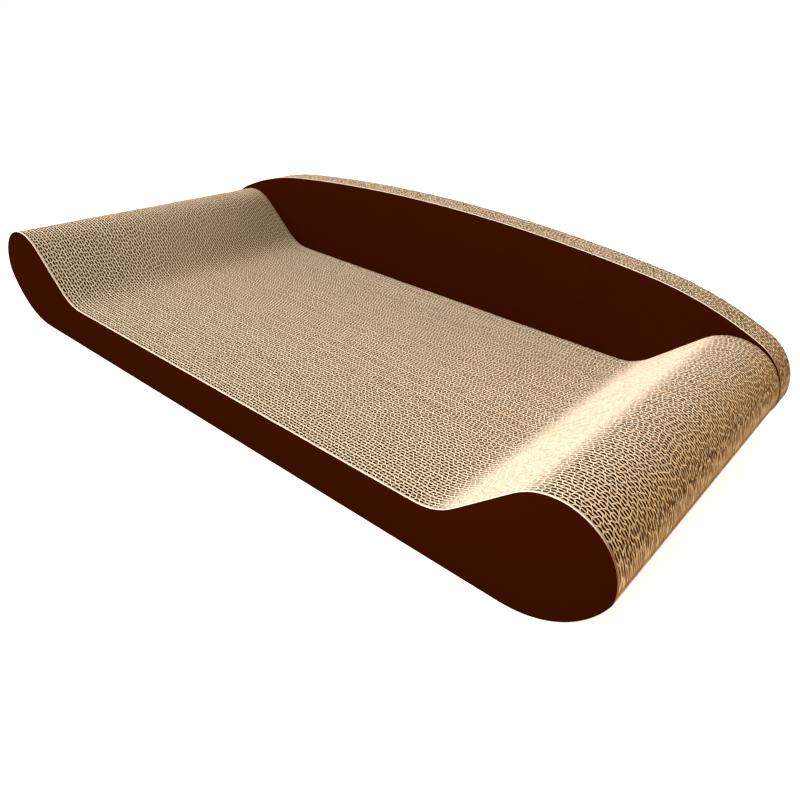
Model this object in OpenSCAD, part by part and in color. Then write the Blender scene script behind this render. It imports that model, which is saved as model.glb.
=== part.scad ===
// Scratching lounger for a cat, made of upright corrugated sheets that are glued face to face.
// The seat block has a roll at its left and right end, and an arched backrest block stands behind it.
// Millimetres, +Z up, X along the lounger and Y from its front to its back.
// The origin is on the floor, in the middle of the length and of the depth.

/* [Seat block] */
// Length over both rolls
seat_length = 600; // [480:5:720]
// Height of the flat part of the seat above the floor
seat_height = 33.6; // [24:0.1:38]
// Radius of the crest of each roll
roll_radius = 36.7; // [30:0.1:44]
// Height of the centre of each crest above the floor
roll_centre_height = 43.8; // [40:0.1:50]
// Slope of the side of a roll that faces the seat, in degrees
roll_slope = 40.5; // [30:0.5:55]
// Radius of the hollow between a roll and the seat
hollow_radius = 39.5; // [10:0.5:60]
// Radius of the rounded underside below each roll
heel_radius = 62; // [50:1:80]
// Height of the edge between a crest and its rounded underside
heel_edge_height = 39; // [34:0.5:40]

/* [Backrest block] */
// Height of the arch in its middle
backrest_height = 116.5; // [105:0.1:140]
// How far the backrest stands out past each end of the seat
backrest_overhang = 0.5; // [0:0.1:5]
// Radius of the ends of the arch
end_radius = 41; // [36:0.5:50]
// Width of the arch's long crown, as a share of the backrest's length
crown_width_share = 0.635; // [0.6:0.005:0.7]
// Fall of the arch along its crown, as a share of its whole fall from the middle to the ends
crown_fall_share = 0.35; // [0.3:0.005:0.45]

/* [Boards] */
// Thickness of one double-wall corrugated sheet
sheet_thickness = 4.82; // [3:0.01:8]
// Number of sheets in the seat block
seat_sheets = 53; // [20:1:53]
// Number of sheets in the backrest block
backrest_sheets = 5; // [2:1:5]
// Thickness of a printed cover board
cover_thickness = 1.5; // [0.5:0.1:4]

/* [Hidden] */
// Sides of the outlines' circles
arc_sides = 360;
// How far neighbouring arcs and lines cut into each other, so that they cross and don't just touch
tuck = 0.01;
// How far a shape runs on inside the next one
overlap = 1;
// How far a shape runs out past what trims it
overrun = 5;

seat_depth = cover_thickness + seat_sheets * sheet_thickness;
backrest_depth = cover_thickness + backrest_sheets * sheet_thickness;
front_y = -(seat_depth + backrest_depth) / 2;
backrest_y = front_y + seat_depth;

// The outlines are drawn for the left end, with x from the middle, and then mirrored.
seat_end_x = -seat_length / 2;
crest_centre = [seat_end_x + roll_radius, roll_centre_height];

// The slope touches the crest and falls to a hollow that also touches the seat.
out_of_slope = [sin(roll_slope), cos(roll_slope)];
down_slope = [cos(roll_slope), -sin(roll_slope)];
hollow_height = seat_height + hollow_radius - tuck;
crest_to_hollow = (roll_radius + hollow_radius - 2 * tuck) * out_of_slope;
slope_length = (crest_centre.y + crest_to_hollow.y - hollow_height) / sin(roll_slope);
slope_top = crest_centre + (roll_radius - tuck) * out_of_slope;
slope_foot = slope_top + slope_length * down_slope;
hollow_centre = crest_centre + crest_to_hollow + slope_length * down_slope;

// The arch is a crown, two shoulders and two ends, each touching the next.
backrest_end_x = seat_end_x - backrest_overhang;
end_centre = [backrest_end_x + end_radius, roll_centre_height];
crown_fall = crown_fall_share * (backrest_height - end_centre.y - end_radius);
crown_foot = [crown_width_share * backrest_end_x, backrest_height - crown_fall];
crown_radius = (pow(crown_foot.x, 2) + pow(crown_fall, 2)) / (2 * crown_fall);
crown_centre = [0, backrest_height - crown_radius];
out_of_crown = direction(crown_centre, crown_foot);
shoulder_top = crown_foot + tuck * out_of_crown;
shoulder_radius = radius_round(end_centre, end_radius - tuck, shoulder_top, out_of_crown);
shoulder_centre = shoulder_top - shoulder_radius * out_of_crown;
shoulder_foot = shoulder_centre + shoulder_radius * direction(shoulder_centre, end_centre);

// Unit vector from one point to another
function direction(from, to) = (to - from) / norm(to - from);

// Radius of the circle that passes through a point, square to the way out of it there,
// and that a smaller circle of radius r touches from inside
function radius_round(centre, r, point, way_out) =
    let (reach = point - centre)
    (reach * reach - pow(r, 2)) / (2 * (reach * way_out - r));

// Half of the chord that a line cuts from a circle of radius r, at a distance from its centre
function half_chord(r, distance) = sqrt(pow(r, 2) - pow(distance, 2));

// Where an end arc meets the rounded underside
function heel_edge_x(arc_centre, arc_radius) =
    arc_centre.x - half_chord(arc_radius, arc_centre.y - heel_edge_height);

sheet_colour = [0.76, 0.63, 0.47];
cover_colour = [0.21, 0.07, 0.01];

function seat_sheet_name(i) = str("seat_sheet_", i < 10 ? "0" : "", i);
function backrest_sheet_name(i) = str("backrest_sheet_", i);

module disc(centre, r) {
    translate(centre) circle(r = r, $fn = arc_sides);
}

// Rectangle between two opposite corners
module span(low, high) {
    translate(low) square(high - low);
}

// Trims its children to the floor and to the rounded underside that starts at edge_x
module on_heel(edge_x) {
    heel_height = heel_radius - tuck;
    heel_x = edge_x + half_chord(heel_radius, heel_height - heel_edge_height);
    intersection() {
        union() children();
        union() {
            disc([heel_x, heel_height], heel_radius);
            span([heel_x, -overrun], [overrun, backrest_height + overrun]);
        }
        span([backrest_end_x - overrun, 0], [0, backrest_height + overrun]);
    }
}

// Left half of the seat's outline
module seat_half() {
    edge_x = heel_edge_x(crest_centre, roll_radius);
    on_heel(edge_x) {
        disc(crest_centre, roll_radius);
        difference() {
            polygon([
                [edge_x + overlap, -overrun],
                [overrun, -overrun],
                [overrun, seat_height],
                [hollow_centre.x, seat_height],
                slope_foot,
                slope_top,
                crest_centre,
                [edge_x + overlap, heel_edge_height]
            ]);
            disc(hollow_centre, hollow_radius);
        }
    }
}

// Left half of the backrest's outline
module backrest_half() {
    edge_x = heel_edge_x(end_centre, end_radius);
    on_heel(edge_x) {
        disc(end_centre, end_radius);
        span([edge_x + overlap, -overrun], [overrun, heel_edge_height]);
        intersection() {
            disc(shoulder_centre, shoulder_radius);
            span([shoulder_foot.x, -overrun], [overrun, backrest_height + overrun]);
        }
        intersection() {
            disc(crown_centre, crown_radius);
            span([crown_foot.x, -overrun], [overrun, backrest_height + overrun]);
        }
    }
}

// Upright board with its front face at y and the outline whose left half is given as its child
module board(y, thickness) {
    translate([0, y + thickness, 0]) rotate([90, 0, 0]) linear_extrude(thickness) {
        children();
        mirror([1, 0]) children();
    }
}

module front_cover() {
    color(cover_colour) board(front_y, cover_thickness) seat_half();
}

module seat_sheet(i) {
    y = front_y + cover_thickness + (i - 1) * sheet_thickness;
    color(sheet_colour) board(y, sheet_thickness) seat_half();
}

module backrest_front_cover() {
    color(cover_colour) board(backrest_y, cover_thickness) backrest_half();
}

module backrest_sheet(i) {
    y = backrest_y + cover_thickness + (i - 1) * sheet_thickness;
    color(sheet_colour) board(y, sheet_thickness) backrest_half();
}

front_cover();
for (i = [1 : seat_sheets])
    seat_sheet(i);
backrest_front_cover();
for (i = [1 : backrest_sheets])
    backrest_sheet(i);
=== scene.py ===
import math
from collections import defaultdict, namedtuple

import bpy
import numpy as np
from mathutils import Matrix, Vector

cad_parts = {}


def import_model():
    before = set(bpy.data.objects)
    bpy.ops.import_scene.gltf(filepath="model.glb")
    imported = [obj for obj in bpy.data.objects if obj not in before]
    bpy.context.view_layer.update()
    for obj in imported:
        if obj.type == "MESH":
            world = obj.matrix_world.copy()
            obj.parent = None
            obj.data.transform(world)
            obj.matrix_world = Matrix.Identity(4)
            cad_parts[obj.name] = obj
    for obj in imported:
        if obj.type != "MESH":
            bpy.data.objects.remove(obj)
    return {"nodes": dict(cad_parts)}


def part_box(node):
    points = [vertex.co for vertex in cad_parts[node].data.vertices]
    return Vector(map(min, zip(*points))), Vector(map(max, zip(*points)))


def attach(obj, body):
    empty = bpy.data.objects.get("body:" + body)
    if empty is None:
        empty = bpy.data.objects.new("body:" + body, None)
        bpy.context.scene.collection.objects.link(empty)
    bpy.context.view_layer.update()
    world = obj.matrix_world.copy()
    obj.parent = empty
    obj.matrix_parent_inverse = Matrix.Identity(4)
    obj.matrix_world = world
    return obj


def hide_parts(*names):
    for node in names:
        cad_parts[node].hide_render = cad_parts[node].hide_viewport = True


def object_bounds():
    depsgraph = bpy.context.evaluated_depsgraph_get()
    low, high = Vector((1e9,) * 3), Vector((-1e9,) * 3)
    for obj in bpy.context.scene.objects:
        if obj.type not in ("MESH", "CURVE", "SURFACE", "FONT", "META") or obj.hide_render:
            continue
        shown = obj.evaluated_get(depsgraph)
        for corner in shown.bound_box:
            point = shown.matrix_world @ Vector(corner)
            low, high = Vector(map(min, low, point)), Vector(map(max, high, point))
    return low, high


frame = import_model()
CAD_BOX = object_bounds()

# Metres everywhere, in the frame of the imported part.
MM = 0.001
BODY = "root"
RANDOM_SEED = 7

# Camera
CAMERA_PLACE = (0.3674, -0.3942, 0.2796)
CAMERA_TURN = (59.96, -3.19, 40.39)  # degrees
CAMERA_LENS = 31.94  # mm, on the 36 mm sensor
CAMERA_NEAR = 10 * MM

# Corrugated board: three liners with two layers of flutes between them
FLUTE_PITCH = 6.5 * MM
STEPS_PER_FLUTE = 12
CREST_FLATNESS = 3.5
LINER_THICKNESS = 0.42 * MM
MIDDLE_LINER_THICKNESS = 0.54 * MM
CREST_THICKNESS = 0.14 * MM
SLOPE_THICKNESS = 0.52 * MM
GLUE_DEPTH = 0.02 * MM
LONGEST_STEP = 4 * MM
TALLEST_STEP = 2.5 * MM
END_GAP = 0.05 * MM
DRIFT_LENGTHS = (97 * MM, 41 * MM)
DRIFT_SIZES = (0.5, 0.3)  # radians
CUT_UNEVENNESS = 0.25 * MM
SHEET_SHIFT = 0.35 * MM
PAPER_SHARP_ANGLE = 55  # degrees

# Outlines
OUTLINE_STEP = 0.5 * MM
OUTLINE_SMOOTHING = 2.0 * MM
TOUCH = 0.01 * MM
CORNER_DECIMALS = 7

# Cover boards
COVER_ROUNDING = 0.2 * MM
ROUNDING_STEPS = 3
COVER_OUTLINE_STEP = 1.5 * MM
COVER_SHARP_ANGLE = 50  # degrees
FACE_PAPER = 0.85 * MM

# Noise: waves per metre, detail, and how much denser the waves are along x, y and z
Pattern = namedtuple("Pattern", "waves detail density", defaults=((1, 1, 1),))

# Kraft of the flutes: colours in sRGB from 0 to 255, and the noises and levelness that they follow
KRAFT_ON_SIDES = (218, 176, 122)
KRAFT_ON_LEVELS = (206, 136, 66)
SIDE_TO_LEVEL = (0.1, 0.5)
KRAFT_TINT = (158, 108, 58)
TINT_SHARE = 0.3
FLUTE_FIBRES = Pattern(900, 4, (1, 1, 0.3))
FLUTE_FIBRE_COLOUR = (166, 112, 58)
FLUTE_FIBRE_NOISE = (0.35, 0.7)
FLUTE_FIBRE_SHARE = 0.3

# Cut edge of the flutes
CUT_DEPTH = 0.02 * MM
CUT_COLOUR = (255, 240, 210)
# painted highlight on the cut where its edge climbs from left to right
CUT_COLOUR_PAINTED_HIGHLIGHT = (253, 243, 228)
CUT_COLOUR_OUTWARD = (255, 222, 170)
PAINTED_HIGHLIGHT_CLIMB = (0.25, 0.6)
OUTWARD_SLOPE = (0.15, 0.75)

# Painted shade inside the flutes, soon dark below the cut, and weaker where the cut is steep
PAINTED_SHADE_DEPTH = 0.07 * MM
PAINTED_SHADE_COLOUR = (52, 17, 2)
# painted highlight that replaces the painted shade in the flutes where the cut climbs
PAINTED_HIGHLIGHT_IN_FLUTES = (244, 226, 196)
PAINTED_SHADE_LEVELS = (0.3, 0.75)
PAINTED_SHADE_SHARES = (0.1, 1)

# Torn paper on the steeper cuts, and dark speckles
TORN_COLOUR = (84, 44, 14)
TORN_PATCHES = Pattern(700, 1, (1, 1, 0.25))
TORN_NOISE = (0.5, 0.58)
TORN_SHARE = 0.8
TORN_STARTS = (0.1, 0.4)
TORN_ENDS = (0.5, 0.75)
SPECKLES = Pattern(420, 2)
SPECKLE_NOISE = (0.5, 0.6)
SEAT_SPECKLE_SHARE = 0.12
BACKREST_SPECKLE_SHARE = 0.5

# Liners
LINER_LIGHT = (196, 155, 110)
LINER_DARK = (186, 144, 99)
LINER_PATCHES = Pattern(25, 3)
LINER_FIBRES = Pattern(700, 5, (1, 1, 0.25))
LINER_FIBRE_COLOUR = (158, 117, 76)
LINER_FIBRE_NOISE = (0.4, 0.72)
LINER_FIBRE_SHARE = 0.4
LINER_SPECKS = Pattern(1600, 1)
LINER_SPECK_COLOUR = (110, 76, 46)
LINER_SPECK_NOISE = (0.7, 0.78)
LINER_SPECK_SHARE = 0.5

# Print on the covers
PRINT_DARK = (46, 13, 1)
PRINT_LIGHT = (49, 14, 1)
PRINT_PATCHES = Pattern(18, 3)
PRINT_GRAIN = Pattern(1100, 3)
PRINT_GRAIN_NOISE = (0.3, 0.7)
PRINT_ROUGHNESS = (0.5, 0.62)

# Cut edge of the covers
FACE_PAPER_LIGHT = (255, 248, 236)
FACE_PAPER_DARK = (246, 232, 212)
BACKING_LIGHT = (236, 204, 158)
BACKING_DARK = (206, 164, 112)
EDGE_FIBRES = Pattern(900, 3, (1, 3, 1))
# painted shade on the cut edge where it faces outwards
EDGE_PAINTED_SHADE_OUTWARD = (150, 104, 62)
EDGE_PAINTED_SHADE_SLOPE = (0.45, 0.8)

# Lamps: degrees round the object from its front to its right, degrees above the floor, and strength
LAMPS = {
    "light_key": (-30, 30, 3.0),
    "light_front_left": (-60, 22, 0.8),
    "light_left": (-90, 10, 0.8),
    "light_right": (125, 12, 0.6),
    "light_back": (165, 35, 0.35),
    "light_top": (0, 80, 0.5),
}
LIGHT_SOFTNESS = 20  # degrees across

# Surround
SURROUND_COLOUR = (255, 214, 168)
SURROUND_LIGHT = 0.33
WHITE = (255, 255, 255)

# Floor
FLOOR_REACH = 6.0
FLOOR_GREY = 0.8
FLOOR_GLOW = 0.78
SHADOW_REACH = 0.6


class Outline:
    """The outline of a board, seen from its front: a closed loop of (x, z), and its heights over x."""

    def __init__(self, node_name):
        mesh = frame["nodes"][node_name].data
        points = np.array([v.co for v in mesh.vertices])
        edges = np.array([e.vertices for e in mesh.edges])
        in_front = points[:, 1] < points[:, 1].min() + TOUCH
        flat = points[:, [0, 2]]
        self.loop = smooth_loop(corners_in_order(flat[edges[in_front[edges].all(1)]]))
        self.top, bottom = split_at_ends(self.loop)
        self.bottom = bottom[::-1]
        rising = climb(self.top)
        outward = -rising * np.sign(self.top[:, 0])
        self.slopes = {"bottom_level": (self.bottom, levelness(self.bottom)),
                       "top_level": (self.top, levelness(self.top)),
                       "outward": (self.top, np.maximum(outward, 0)),
                       "rising": (self.top, np.maximum(rising, 0))}

    def heights(self, x):
        """Height of the lower and of the upper edge at x."""
        return np.interp(x, *self.bottom.T), np.interp(x, *self.top.T)

    def slopes_at(self, x):
        """How level the edges are at x, and how much the upper one faces outwards or climbs, from 0 to 1."""
        return {name: np.interp(x, edge[:, 0], values) for name, (edge, values) in self.slopes.items()}

    def columns(self, longest_step):
        """Places along x, closer together where an edge is steep."""
        x = np.unique(np.r_[self.top[:, 0], self.bottom[:, 0]])
        x = x[(x > x[0] + END_GAP) & (x < x[-1] - END_GAP)]
        low, high = self.heights(x)
        steps = np.maximum.reduce([np.diff(x) / longest_step,
                                   np.abs(np.diff(low)) / TALLEST_STEP,
                                   np.abs(np.diff(high)) / TALLEST_STEP])
        run = np.r_[0, np.cumsum(steps)]
        return np.interp(np.linspace(0, run[-1], math.ceil(run[-1]) + 1), run, x)


def corners_in_order(edges):
    """Corners of an outline that has one upper and one lower edge, clockwise from its left end.

    edges holds the ends of all the edges in a flat face, those inside it too.
    """
    corners = np.unique(edges.reshape(-1, 2).round(CORNER_DECIMALS), axis=0)
    (x0, z0), (x1, z1) = edges[:, 0].T, edges[:, 1].T
    x = corners[:, :1]
    beside = (x >= np.minimum(x0, x1) - TOUCH) & (x <= np.maximum(x0, x1) + TOUCH)
    width = np.where(np.abs(x1 - x0) < TOUCH, np.inf, x1 - x0)
    z = np.clip(z0 + (x - x0) / width * (z1 - z0), np.minimum(z0, z1), np.maximum(z0, z1))
    upper = np.where(beside, z, -np.inf).max(1)
    lower = np.where(beside, z, np.inf).min(1)
    top = corners[corners[:, 1] > upper - TOUCH]
    bottom = corners[corners[:, 1] < lower + TOUCH]
    return np.vstack([top, bottom[::-1]])


def smooth_loop(corners):
    """A closed loop with evenly spaced points, whose corners are rounded by a moving average."""
    ring = np.vstack([corners, corners[:1]])
    run = np.r_[0, np.cumsum(np.hypot(*np.diff(ring, axis=0).T))]
    count = round(run[-1] / OUTLINE_STEP)
    at = np.arange(count) / count * run[-1]
    loop = np.c_[np.interp(at, run, ring[:, 0]), np.interp(at, run, ring[:, 1])]
    apart = np.minimum(at, run[-1] - at)
    weights = np.exp(-(apart / OUTLINE_SMOOTHING) ** 2 / 2)
    weights /= weights.sum()
    blur = np.fft.fft(weights)[:, None]
    return np.fft.ifft(np.fft.fft(loop, axis=0) * blur, axis=0).real


def split_at_ends(loop):
    """The upper edge from left to right and the lower edge from right to left."""
    loop = np.roll(loop, -loop[:, 0].argmin(), axis=0)
    right = loop[:, 0].argmax()
    return loop[:right + 1], np.vstack([loop[right:], loop[:1]])


def levelness(edge):
    """How level an edge is at each of its points, from 0 where it is upright to 1."""
    along = np.gradient(edge, axis=0)
    return np.abs(along[:, 0]) / np.hypot(*along.T)


def climb(edge):
    """How steeply an edge climbs from left to right at each of its points, from -1 to 1."""
    along = np.gradient(edge, axis=0)
    return along[:, 1] / np.hypot(*along.T)


class BoardMesh:
    """Collects thin closed shells, each lofted through upright sections with four corners, into one mesh."""

    CORNERS = 4
    FRONT_SIDE = 0
    BACK_SIDE = 2

    def __init__(self):
        self.points, self.faces, self.materials = [], [], []
        self.values = defaultdict(list)
        self.count = 0

    def add_paper(self, x, y, thickness, outline, unevenness, tint, outer_side=None):
        """Adds one paper that runs through the places (x, y) and reaches from edge to edge of the outline.

        outer_side is the side that gets the second material.
        """
        along = np.gradient(np.c_[x, y], axis=0)
        along /= np.hypot(*along.T)[:, None]
        aside = np.c_[-along[:, 1], along[:, 0]] * np.reshape(thickness, (-1, 1)) / 2
        front, back = np.c_[x, y] - aside, np.c_[x, y] + aside
        lows, highs = [], []
        for side in (front, back):
            low, high = outline.heights(side[:, 0])
            lows.append(low)
            highs.append(np.maximum(high - unevenness, low + TOUCH))
        corners = (np.c_[front, lows[0]], np.c_[front, highs[0]], np.c_[back, highs[1]], np.c_[back, lows[1]])
        self.points.append(np.stack(corners, axis=1).reshape(-1, 3))
        self.values["cut_top"].append(np.repeat(np.stack(highs, axis=1), 2))
        self.values["cut_bottom"].append(np.repeat(np.stack(lows, axis=1), 2))
        for key, values in outline.slopes_at(x).items():
            self.values[key].append(np.repeat(values, self.CORNERS))
        self.values["tint"].append(np.full(self.CORNERS * len(x), tint))
        self.add_faces(len(x), outer_side)

    def add_faces(self, sections, outer_side):
        """Joins the newest sections along their four sides and closes both ends."""
        start = self.count + self.CORNERS * np.arange(sections - 1)[:, None]
        for side in range(self.CORNERS):
            after = (side + 1) % self.CORNERS
            self.faces.append(start + np.array([side, side + self.CORNERS, after + self.CORNERS, after]))
            self.materials.append(np.full(sections - 1, int(side == outer_side)))
        corners = np.arange(self.CORNERS)
        last = self.count + self.CORNERS * (sections - 1)
        self.faces.append(np.array([self.count + corners, last + corners[::-1]]))
        self.materials.append(np.zeros(2, int))
        self.count += self.CORNERS * sections

    def make(self, name, materials):
        """Makes the object, with smooth flutes and sharp cut edges."""
        faces = np.vstack(self.faces)
        mesh = quad_mesh(name, np.vstack(self.points), faces)
        mesh.polygons.foreach_set("material_index", np.concatenate(self.materials).astype(np.int32))
        for key, values in self.values.items():
            add_values(mesh, key, np.concatenate(values))
        mesh.polygons.foreach_set("use_smooth", np.ones(len(faces), bool))
        mesh.set_sharp_from_angle(angle=math.radians(PAPER_SHARP_ANGLE))
        return link(name, mesh, materials)


def quad_mesh(name, points, faces):
    """A mesh of four-sided faces."""
    mesh = bpy.data.meshes.new(name)
    mesh.vertices.add(len(points))
    mesh.vertices.foreach_set("co", points.astype(np.float32).ravel())
    mesh.loops.add(faces.size)
    mesh.loops.foreach_set("vertex_index", faces.astype(np.int32).ravel())
    mesh.polygons.add(len(faces))
    mesh.polygons.foreach_set("loop_start", np.arange(0, faces.size, faces.shape[1], dtype=np.int32))
    mesh.update(calc_edges=True)
    return mesh


def add_values(mesh, key, values):
    """Gives each point of a mesh a number that its materials can read."""
    mesh.attributes.new(key, "FLOAT", "POINT").data.foreach_set("value", values.astype(np.float32))


def link(name, mesh, materials):
    """Puts a mesh in the scene with its materials."""
    for material in materials:
        mesh.materials.append(material)
    made = bpy.data.objects.new(name, mesh)
    bpy.context.scene.collection.objects.link(made)
    return made


def drift(x, random):
    """A slow wander of the flutes along a board, in radians."""
    starts = random.uniform(0, 2 * math.pi, len(DRIFT_LENGTHS))
    return sum(size * np.sin(2 * math.pi * x / length + start)
               for size, length, start in zip(DRIFT_SIZES, DRIFT_LENGTHS, starts))


def corrugated_board(node_name, outline, random, materials):
    """A double-wall board with real flutes in the place of a CAD sheet."""
    low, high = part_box(node_name)
    mesh = BoardMesh()
    shift = random.uniform(0, SHEET_SHIFT)
    half = LINER_THICKNESS / 2
    thicknesses = (LINER_THICKNESS, MIDDLE_LINER_THICKNESS, LINER_THICKNESS)
    places = np.linspace(low.y + half, high.y - half, len(thicknesses))
    outer_sides = (mesh.FRONT_SIDE, None, mesh.BACK_SIDE)
    x = outline.columns(LONGEST_STEP)
    for place, thickness, outer_side in zip(places, thicknesses, outer_sides):
        uneven = shift + random.uniform(0, CUT_UNEVENNESS, len(x))
        mesh.add_paper(x, np.full(len(x), place), thickness, outline, uneven, random.random(), outer_side)
    x = outline.columns(FLUTE_PITCH / STEPS_PER_FLUTE)
    for i in range(len(places) - 1):
        gap_front = places[i] + thicknesses[i] / 2
        gap_back = places[i + 1] - thicknesses[i + 1] / 2
        reach = (gap_back - gap_front - CREST_THICKNESS) / 2 + GLUE_DEPTH
        turn = 2 * math.pi * x / FLUTE_PITCH + random.uniform(0, 2 * math.pi) + drift(x, random)
        wave = np.tanh(CREST_FLATNESS * np.cos(turn)) / math.tanh(CREST_FLATNESS)
        y = (gap_front + gap_back) / 2 + reach * wave
        thickness = CREST_THICKNESS + (SLOPE_THICKNESS - CREST_THICKNESS) * np.sin(turn) ** 2
        uneven = shift + random.uniform(0, CUT_UNEVENNESS, len(x))
        mesh.add_paper(x, y, thickness, outline, uneven, random.random())
    piece = mesh.make(node_name + "_board", materials)
    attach(piece, BODY)
    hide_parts(node_name)


def cover_board(node_name, outline, materials):
    """A thin printed board with softly rounded edges in the place of a CAD cover."""
    low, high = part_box(node_name)
    loop = outline.loop[::round(COVER_OUTLINE_STEP / OUTLINE_STEP)]
    count = len(loop)
    along = np.roll(loop, -1, axis=0) - np.roll(loop, 1, axis=0)
    along /= np.hypot(*along.T)[:, None]
    inward = np.c_[along[:, 1], -along[:, 0]]
    turns = np.linspace(0, math.pi / 2, ROUNDING_STEPS)
    inset = COVER_ROUNDING * (1 - np.sin(turns))
    inset = np.r_[inset, inset[::-1]]
    y = low.y + COVER_ROUNDING * (1 - np.cos(turns))
    y = np.r_[y, high.y + low.y - y[::-1]]
    points = []
    for ring_inset, ring_y in zip(inset, y):
        flat = loop + inward * ring_inset
        points.append(np.c_[flat[:, 0], np.full(count, ring_y), np.maximum(flat[:, 1], low.z)])
    faces = []
    last = (len(y) - 1) * count
    for start in range(0, last, count):
        for i in range(count):
            after = (i + 1) % count
            faces.append((start + i, start + after, start + count + after, start + count + i))
    edge_faces = len(faces)
    faces.append(tuple(range(count))[::-1])
    faces.append(tuple(range(last, last + count)))
    mesh = bpy.data.meshes.new(node_name)
    mesh.from_pydata(np.vstack(points).tolist(), [], faces)
    outward = np.maximum(-inward[:, 0] * np.sign(loop[:, 0]), 0)
    add_values(mesh, "behind_face", np.repeat(y - low.y, count))
    add_values(mesh, "outward", np.tile(outward, len(y)))
    on_edge = np.arange(len(faces)) < edge_faces
    mesh.polygons.foreach_set("material_index", on_edge.astype(np.int32))
    mesh.polygons.foreach_set("use_smooth", np.ones(len(faces), bool))
    mesh.set_sharp_from_angle(angle=math.radians(COVER_SHARP_ANGLE))
    piece = link(node_name + "_board", mesh, materials)
    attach(piece, BODY)
    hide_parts(node_name)


def srgb(colour):
    """A colour given as 0 to 255 in sRGB, as the linear colour that shaders use."""
    share = np.array(colour) / 255
    linear = np.where(share <= 0.04045, share / 12.92, ((share + 0.055) / 1.055) ** 2.4)
    return (*linear.tolist(), 1)


def new_material(name):
    """A material with its node tree, its Principled shader and the place on the object."""
    material = bpy.data.materials.new(name)
    material.use_nodes = True
    tree = material.node_tree
    place = node(tree, "ShaderNodeTexCoord").outputs["Object"]
    return material, tree, tree.nodes["Principled BSDF"], place


def feed(tree, fed, inputs):
    """Feeds a node. inputs holds pairs of a socket and its value, or the output that is linked to it."""
    for socket, value in inputs:
        if isinstance(value, bpy.types.NodeSocket):
            tree.links.new(value, fed.inputs[socket])
        else:
            fed.inputs[socket].default_value = value


def node(tree, kind, inputs=(), **settings):
    """Adds a shader node with its settings, and feeds it."""
    made = tree.nodes.new(kind)
    for name, value in settings.items():
        setattr(made, name, value)
    feed(tree, made, inputs)
    return made


def set_finish(tree, shader, colour, roughness, specular):
    """Sets the colour and the gloss of a shader."""
    feed(tree, shader, (("Base Color", colour), ("Roughness", roughness), ("Specular IOR Level", specular)))


def set_bumps(tree, shader, height, strength, depth):
    """Gives the surface of a shader small bumps."""
    pairs = (("Strength", strength), ("Distance", depth), ("Height", height))
    feed(tree, shader, (("Normal", node(tree, "ShaderNodeBump", pairs).outputs[0]),))


def math_node(tree, operation, *values):
    """Result of a sum or another operation on one or two values."""
    return node(tree, "ShaderNodeMath", enumerate(values), operation=operation).outputs[0]


def remap(tree, value, before, after=(0, 1)):
    """A value moved from one range into another, and held inside it."""
    return node(tree, "ShaderNodeMapRange", enumerate((value, *before, *after))).outputs[0]


def mix(tree, share, first, second):
    """Mix of two colours. The numbers are the sockets of the Mix node that it has for colours."""
    share_socket, first_socket, second_socket, mixed_socket = 0, 6, 7, 2
    pairs = ((share_socket, share), (first_socket, first), (second_socket, second))
    return node(tree, "ShaderNodeMix", pairs, data_type="RGBA").outputs[mixed_socket]


def noise(tree, place, pattern):
    """Noise between 0 and 1 at a place."""
    dense = node(tree, "ShaderNodeMapping", (("Vector", place), ("Scale", pattern.density))).outputs[0]
    pairs = (("Vector", dense), ("Scale", pattern.waves), ("Detail", pattern.detail))
    return node(tree, "ShaderNodeTexNoise", pairs).outputs["Fac"]


def attribute(tree, name):
    """A number that the mesh carries at its points."""
    return node(tree, "ShaderNodeAttribute", attribute_name=name).outputs["Fac"]


def coordinates(tree, place):
    """The x, y and z of a place."""
    return node(tree, "ShaderNodeSeparateXYZ", ((0, place),)).outputs


def depth_below_cut(tree, place):
    """Distance from the board's cut edges, about square to them."""
    z = coordinates(tree, place)["Z"]
    below_top = math_node(tree, "SUBTRACT", attribute(tree, "cut_top"), z)
    below_top = math_node(tree, "MULTIPLY", below_top, attribute(tree, "top_level"))
    above_bottom = math_node(tree, "SUBTRACT", z, attribute(tree, "cut_bottom"))
    above_bottom = math_node(tree, "MULTIPLY", above_bottom, attribute(tree, "bottom_level"))
    product = math_node(tree, "MULTIPLY", below_top, above_bottom)
    return math_node(tree, "DIVIDE", product, math_node(tree, "ADD", below_top, above_bottom))


def upper_half(tree, place):
    """One above the middle of the board's height at this place, and zero below it."""
    both_cuts = math_node(tree, "ADD", attribute(tree, "cut_top"), attribute(tree, "cut_bottom"))
    middle = math_node(tree, "MULTIPLY", both_cuts, 1 / 2)
    return math_node(tree, "GREATER_THAN", coordinates(tree, place)["Z"], middle)


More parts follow.
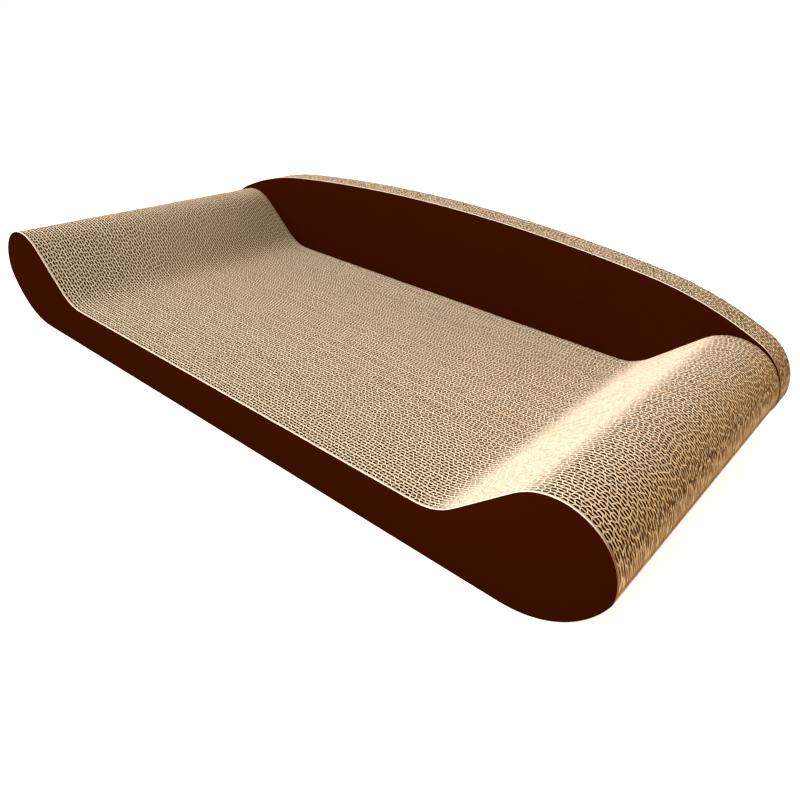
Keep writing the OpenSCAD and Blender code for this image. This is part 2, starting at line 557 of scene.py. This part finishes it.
def flute_material(name, speckle_share):
    """Kraft paper inside the boards: pale where it is cut, with painted shade soon dark down in the flutes.

    Where the upper half of the cut edge climbs from left to right, a painted highlight makes the cut paler
    and fills the flutes with pale colour in place of the painted shade.
    speckle_share is the strength of the dark spots that a rough cut leaves.
    """
    material, tree, shader, place = new_material(name)
    depth = depth_below_cut(tree, place)
    level = attribute(tree, "top_level")
    fibres = noise(tree, place, FLUTE_FIBRES)
    kraft = mix(tree, remap(tree, level, SIDE_TO_LEVEL), srgb(KRAFT_ON_SIDES), srgb(KRAFT_ON_LEVELS))
    tint = remap(tree, attribute(tree, "tint"), (0, 1), (0, TINT_SHARE))
    kraft = mix(tree, tint, kraft, srgb(KRAFT_TINT))
    fibre_share = remap(tree, fibres, FLUTE_FIBRE_NOISE, (0, FLUTE_FIBRE_SHARE))
    kraft = mix(tree, fibre_share, kraft, srgb(FLUTE_FIBRE_COLOUR))

    # painted highlight where the upper half of the cut climbs from left to right
    rising = math_node(tree, "MULTIPLY", attribute(tree, "rising"), upper_half(tree, place))
    painted_highlight = remap(tree, rising, PAINTED_HIGHLIGHT_CLIMB)
    outward = remap(tree, attribute(tree, "outward"), OUTWARD_SLOPE)
    cut = mix(tree, painted_highlight, srgb(CUT_COLOUR), srgb(CUT_COLOUR_PAINTED_HIGHLIGHT))
    cut = mix(tree, outward, cut, srgb(CUT_COLOUR_OUTWARD))
    paper = mix(tree, remap(tree, depth, (0, CUT_DEPTH), (1, 0)), kraft, cut)

    # painted shade: darker down in the flutes below the cut, and weaker where the cut is steep
    painted_shade = remap(tree, depth, (CUT_DEPTH, PAINTED_SHADE_DEPTH))
    painted_shade = math_node(tree, "MULTIPLY", painted_shade, remap(tree, level, PAINTED_SHADE_LEVELS, PAINTED_SHADE_SHARES))
    paper = mix(tree, painted_shade, paper, mix(tree, painted_highlight, srgb(PAINTED_SHADE_COLOUR), srgb(PAINTED_HIGHLIGHT_IN_FLUTES)))

    torn = remap(tree, noise(tree, place, TORN_PATCHES), TORN_NOISE)
    torn = math_node(tree, "MULTIPLY", torn, remap(tree, level, TORN_STARTS))
    torn = math_node(tree, "MULTIPLY", torn, remap(tree, level, TORN_ENDS, (TORN_SHARE, 0)))
    spots = remap(tree, noise(tree, place, SPECKLES), SPECKLE_NOISE, (0, speckle_share))
    paper = mix(tree, math_node(tree, "MAXIMUM", torn, spots), paper, srgb(TORN_COLOUR))

    set_finish(tree, shader, paper, roughness=0.9, specular=0)
    set_bumps(tree, shader, fibres, strength=0.25, depth=0.1 * MM)
    return material


def liner_material():
    """Kraft paper on the outside of a board, with fibres and dark specks."""
    material, tree, shader, place = new_material("kraft_liner")
    fibres = noise(tree, place, LINER_FIBRES)
    fibre_share = remap(tree, fibres, LINER_FIBRE_NOISE, (0, LINER_FIBRE_SHARE))
    specks = remap(tree, noise(tree, place, LINER_SPECKS), LINER_SPECK_NOISE, (0, LINER_SPECK_SHARE))
    paper = mix(tree, noise(tree, place, LINER_PATCHES), srgb(LINER_LIGHT), srgb(LINER_DARK))
    paper = mix(tree, fibre_share, paper, srgb(LINER_FIBRE_COLOUR))
    paper = mix(tree, specks, paper, srgb(LINER_SPECK_COLOUR))
    set_finish(tree, shader, paper, roughness=0.85, specular=0.2)
    set_bumps(tree, shader, fibres, strength=0.2, depth=0.1 * MM)
    return material


def print_material():
    """Dark brown matt print over a fine paper grain."""
    material, tree, shader, place = new_material("brown_print")
    grain = noise(tree, place, PRINT_GRAIN)
    paint = mix(tree, noise(tree, place, PRINT_PATCHES), srgb(PRINT_DARK), srgb(PRINT_LIGHT))
    set_finish(tree, shader, paint, remap(tree, grain, PRINT_GRAIN_NOISE, PRINT_ROUGHNESS), specular=0)
    set_bumps(tree, shader, grain, strength=0.12, depth=0.05 * MM)
    return material


def cut_edge_material():
    """Cut edge of a cover board: a white face paper on kraft board, with painted shade where it faces
    outwards.
    """
    material, tree, shader, place = new_material("cover_cut_edge")
    fibres = noise(tree, place, EDGE_FIBRES)
    white = mix(tree, fibres, srgb(FACE_PAPER_LIGHT), srgb(FACE_PAPER_DARK))
    kraft = mix(tree, fibres, srgb(BACKING_LIGHT), srgb(BACKING_DARK))
    paper_ends = (FACE_PAPER, FACE_PAPER + COVER_ROUNDING / 2)
    paper = mix(tree, remap(tree, attribute(tree, "behind_face"), paper_ends), white, kraft)
    # painted shade where the edge faces outwards
    outward = remap(tree, attribute(tree, "outward"), EDGE_PAINTED_SHADE_SLOPE)
    paper = mix(tree, outward, paper, srgb(EDGE_PAINTED_SHADE_OUTWARD))
    set_finish(tree, shader, paper, roughness=0.9, specular=0.15)
    return material


def dress_boards():
    """Replaces each CAD board with its detailed piece."""
    random = np.random.default_rng(RANDOM_SEED)
    liner = liner_material()
    cover_materials = (print_material(), cut_edge_material())
    seat = (Outline("front_cover"), flute_material("kraft_flutes", SEAT_SPECKLE_SHARE))
    backrest = (Outline("backrest_front_cover"), flute_material("kraft_flutes_rough", BACKREST_SPECKLE_SHARE))
    for name in sorted(frame["nodes"]):
        outline, flutes = backrest if name.startswith("backrest") else seat
        if name.endswith("cover"):
            cover_board(name, outline, cover_materials)
        else:
            corrugated_board(name, outline, random, (flutes, liner))


def seen_rays(tree):
    """One for the rays that show the surroundings to the camera, straight, mirrored or through glass."""
    rays = node(tree, "ShaderNodeLightPath")
    seen = math_node(tree, "MAXIMUM", rays.outputs["Is Camera Ray"], rays.outputs["Is Glossy Ray"])
    return math_node(tree, "MAXIMUM", seen, rays.outputs["Is Transmission Ray"])


def under_object(tree, place):
    """One where the floor lies under the object's flat resting face, and zero elsewhere."""
    corners = np.array([v.co for v in frame["nodes"]["front_cover"].data.vertices])
    half_length = corners[corners[:, 2] < TOUCH, 0].max()
    half_depth = CAD_BOX[1][1]
    on_floor = coordinates(tree, place)
    inside_x = math_node(tree, "LESS_THAN", math_node(tree, "ABSOLUTE", on_floor["X"]), half_length)
    inside_y = math_node(tree, "LESS_THAN", math_node(tree, "ABSOLUTE", on_floor["Y"]), half_depth)
    return math_node(tree, "MULTIPLY", inside_x, inside_y)


def floor():
    """Wide pale floor that shows as a white ground, and is dark under the object and in its soft shadow."""
    corners = [(x * FLOOR_REACH, y * FLOOR_REACH, 0) for x, y in ((-1, -1), (1, -1), (1, 1), (-1, 1))]
    mesh = bpy.data.meshes.new("floor")
    mesh.from_pydata(corners, [], [(0, 1, 2, 3)])
    material, tree, shader, place = new_material("floor")
    set_finish(tree, shader, (FLOOR_GREY, FLOOR_GREY, FLOOR_GREY, 1), roughness=0.9, specular=0)
    away = node(tree, "ShaderNodeVectorMath", ((0, place),), operation="LENGTH").outputs["Value"]
    glow = remap(tree, away, (SHADOW_REACH, 2 * SHADOW_REACH), (FLOOR_GLOW, 1))
    glow = remap(tree, under_object(tree, place), (0, 1), (glow, 0))
    glow = math_node(tree, "MULTIPLY", seen_rays(tree), glow)
    feed(tree, shader, (("Emission Color", srgb(WHITE)), ("Emission Strength", glow)))
    link("floor", mesh, [material])


def lights():
    """Far soft studio lamps, brightest from the front and the left."""
    for name, (turn, rise, strength) in LAMPS.items():
        lamp = bpy.data.lights.new(name, "SUN")
        lamp.energy = strength
        lamp.angle = math.radians(LIGHT_SOFTNESS)
        made = bpy.data.objects.new(name, lamp)
        made.rotation_euler = (math.radians(90 - rise), 0, math.radians(turn))
        bpy.context.scene.collection.objects.link(made)


def world():
    """Plain pale surround: white where it is seen, and a weak warm light on the object."""
    made = bpy.data.worlds.new("surround")
    bpy.context.scene.world = made
    made.use_nodes = True
    tree = made.node_tree
    seen = seen_rays(tree)
    colour = mix(tree, seen, srgb(SURROUND_COLOUR), srgb(WHITE))
    strength = remap(tree, seen, (0, 1), (SURROUND_LIGHT, 1))
    feed(tree, tree.nodes["Background"], (("Color", colour), ("Strength", strength)))


def camera():
    """Camera at the photograph's place, angle and width of view."""
    lens = bpy.data.cameras.new("camera")
    lens.lens = CAMERA_LENS
    lens.clip_start = CAMERA_NEAR
    made = bpy.data.objects.new("camera", lens)
    made.location = CAMERA_PLACE
    made.rotation_euler = [math.radians(turn) for turn in CAMERA_TURN]
    bpy.context.scene.collection.objects.link(made)
    bpy.context.scene.camera = made


camera()
dress_boards()
floor()
lights()
world()
bpy.context.scene.view_settings.view_transform = "Standard"
